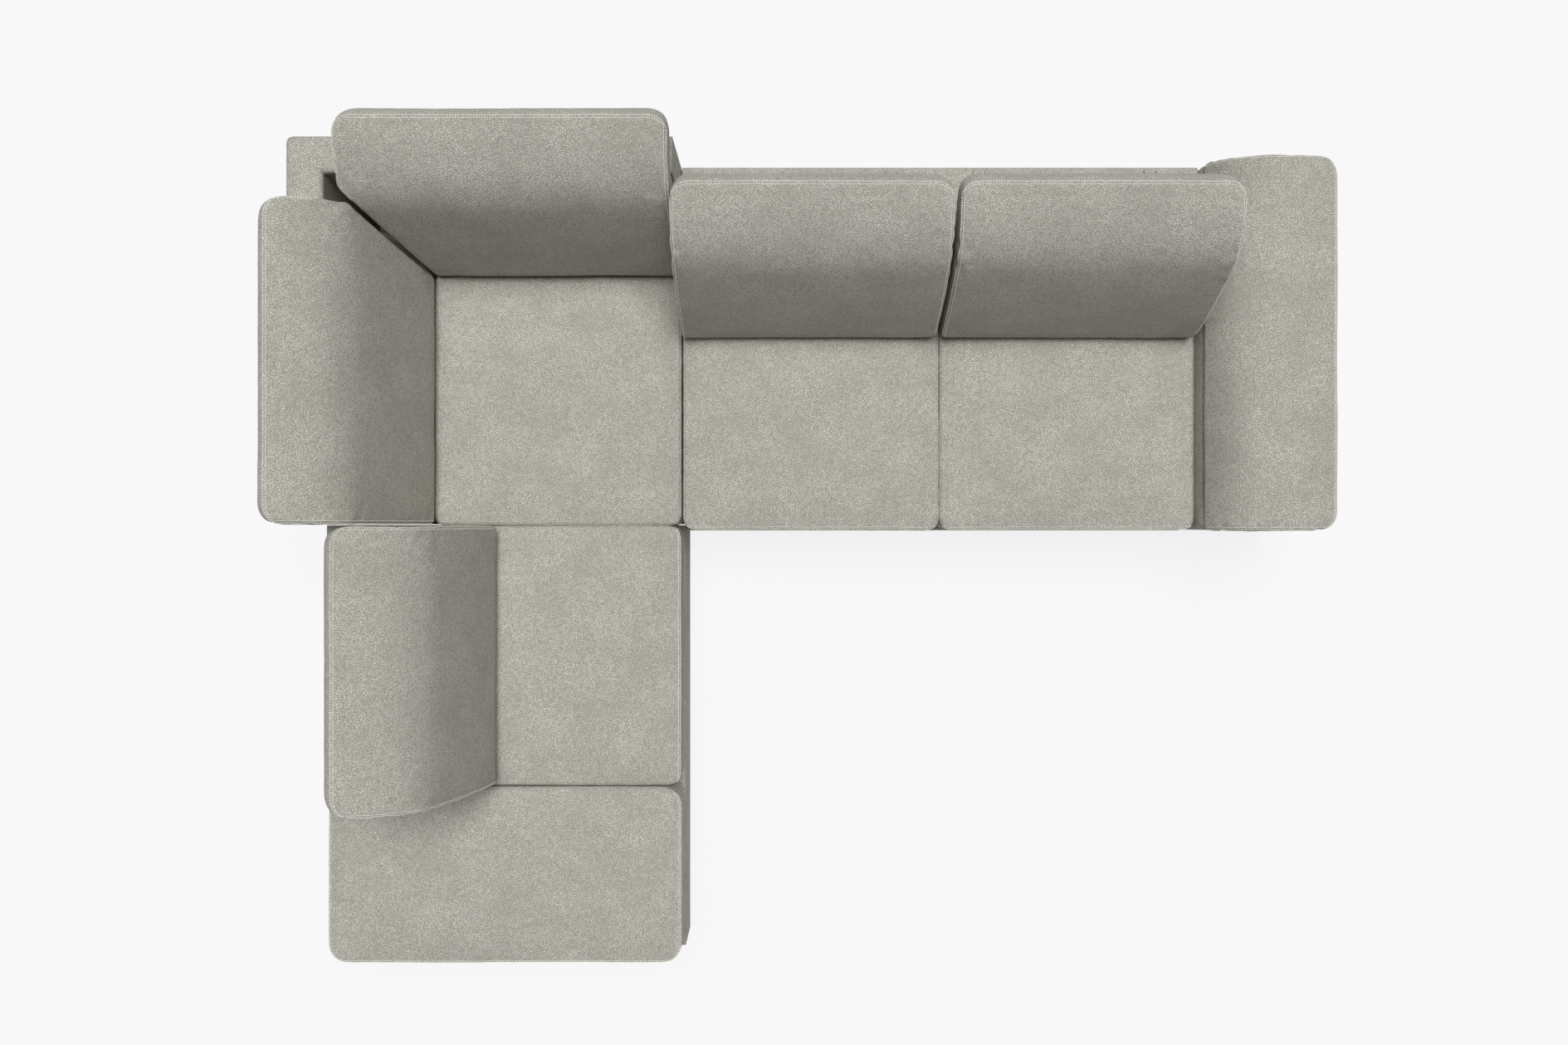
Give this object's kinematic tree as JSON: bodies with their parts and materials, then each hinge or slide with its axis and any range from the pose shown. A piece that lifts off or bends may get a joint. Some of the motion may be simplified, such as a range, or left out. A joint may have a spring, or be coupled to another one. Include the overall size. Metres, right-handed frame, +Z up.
{
  "type": "sectional sofa",
  "caption": "L-shaped upholstered sectional with a corner seat, a chaise, one wide arm, folding headrests, sliding backs and a folding arm pad.",
  "frame": {"origin": "centre of the overall box on the floor", "axes": "+Z up, +X to the right facing the row from the front, towards the arm, +Y to the rear"},
  "size_m": [2.7199, 2.1979, 0.9626],
  "materials": {
    "cover_microfibre": "leather-look microfibre, warm light grey, matt with a soft sheen",
    "plywood": "bare plywood",
    "steel": "zinc plated",
    "webbing": "black elastic webbing",
    "dust_cloth": "black spun cloth",
    "foot_plastic": "black moulded plastic"
  },
  "bodies": {
    "base": {"back_corner_rear_pad": "cover_microfibre", "back_corner_rear_frame": "plywood", "back_corner_rear_brackets": "steel", "back_corner_side_pad": "cover_microfibre", "back_corner_side_frame": "plywood", "back_corner_side_brackets": "steel", "seat_middle": "cover_microfibre", "seat_right": "cover_microfibre", "seat_corner": "cover_microfibre", "seat_chaise": "cover_microfibre", "seat_chaise_end": "cover_microfibre", "row_frame": "plywood", "row_front_panel": "cover_microfibre", "row_rear_panel": "cover_microfibre", "chaise_frame": "plywood", "chaise_ledge": "cover_microfibre", "chaise_outer_panel": "cover_microfibre", "chaise_inner_panel": "cover_microfibre", "chaise_end_panel": "cover_microfibre", "corner_rear_wall": "cover_microfibre", "corner_side_wall": "cover_microfibre", "corner_frame": "plywood", "arm_body": "cover_microfibre", "arm_frame": "plywood", "arm_brackets": "steel", "webbing_straps": "webbing", "dust_covers": "dust_cloth", "feet": "foot_plastic", "slide_rails": "steel", "module_connectors": "steel"},
    "headrest_middle": {"headrest_middle_pad": "cover_microfibre", "headrest_middle_board": "plywood", "headrest_middle_arms": "steel"},
    "back_middle": {"back_middle_pad": "cover_microfibre", "back_middle_frame": "plywood", "back_middle_brackets": "steel"},
    "headrest_right": {"headrest_right_pad": "cover_microfibre", "headrest_right_board": "plywood", "headrest_right_arms": "steel"},
    "back_right": {"back_right_pad": "cover_microfibre", "back_right_frame": "plywood", "back_right_brackets": "steel"},
    "headrest_corner_rear": {"headrest_corner_rear_pad": "cover_microfibre", "headrest_corner_rear_board": "plywood", "headrest_corner_rear_arms": "steel"},
    "headrest_corner_side": {"headrest_corner_side_pad": "cover_microfibre", "headrest_corner_side_board": "plywood", "headrest_corner_side_arms": "steel"},
    "headrest_chaise": {"headrest_chaise_pad": "cover_microfibre", "headrest_chaise_board": "plywood", "headrest_chaise_arms": "steel"},
    "back_chaise": {"back_chaise_pad": "cover_microfibre", "back_chaise_frame": "plywood", "back_chaise_brackets": "steel"},
    "arm_top": {"arm_pad": "cover_microfibre", "arm_pad_board": "plywood", "arm_pad_arms": "steel"}
  },
  "joints": [
    {"name": "slide_middle", "type": "slide", "parent": "base", "child": "back_middle", "axis": [0, 1, 0], "range_m": [0, 0.168]},
    {"name": "fold_middle", "type": "hinge", "parent": "back_middle", "child": "headrest_middle", "pos_m": [-0.023, 0.78517, 0.86055], "axis": [1, 0, 0], "range_deg": [0, 52]},
    {"name": "slide_right", "type": "slide", "parent": "base", "child": "back_right", "axis": [0, 1, 0], "range_m": [0, 0.168]},
    {"name": "fold_right", "type": "hinge", "parent": "back_right", "child": "headrest_right", "pos_m": [0.672, 0.78517, 0.86055], "axis": [1, 0, 0], "range_deg": [0, 52]},
    {"name": "fold_corner_rear", "type": "hinge", "parent": "base", "child": "headrest_corner_rear", "pos_m": [-0.769, 0.93632, 0.86097], "axis": [1, 0, 0], "range_deg": [0, 52]},
    {"name": "fold_corner_side", "type": "hinge", "parent": "base", "child": "headrest_corner_side", "pos_m": [-1.20433, 0.4865, 0.86097], "axis": [0, 1, 0], "range_deg": [0, 52]},
    {"name": "slide_chaise", "type": "slide", "parent": "base", "child": "back_chaise", "axis": [-1, 0, 0], "range_m": [0, 0.168]},
    {"name": "fold_chaise", "type": "hinge", "parent": "back_chaise", "child": "headrest_chaise", "pos_m": [-1.0158, -0.257, 0.8615], "axis": [0, 1, 0], "range_deg": [0, 52]},
    {"name": "fold_arm", "type": "hinge", "parent": "base", "child": "arm_top", "pos_m": [1.11205, 0.5675, 0.55869], "axis": [0, -1, 0], "range_deg": [0, 55]}
  ]
}
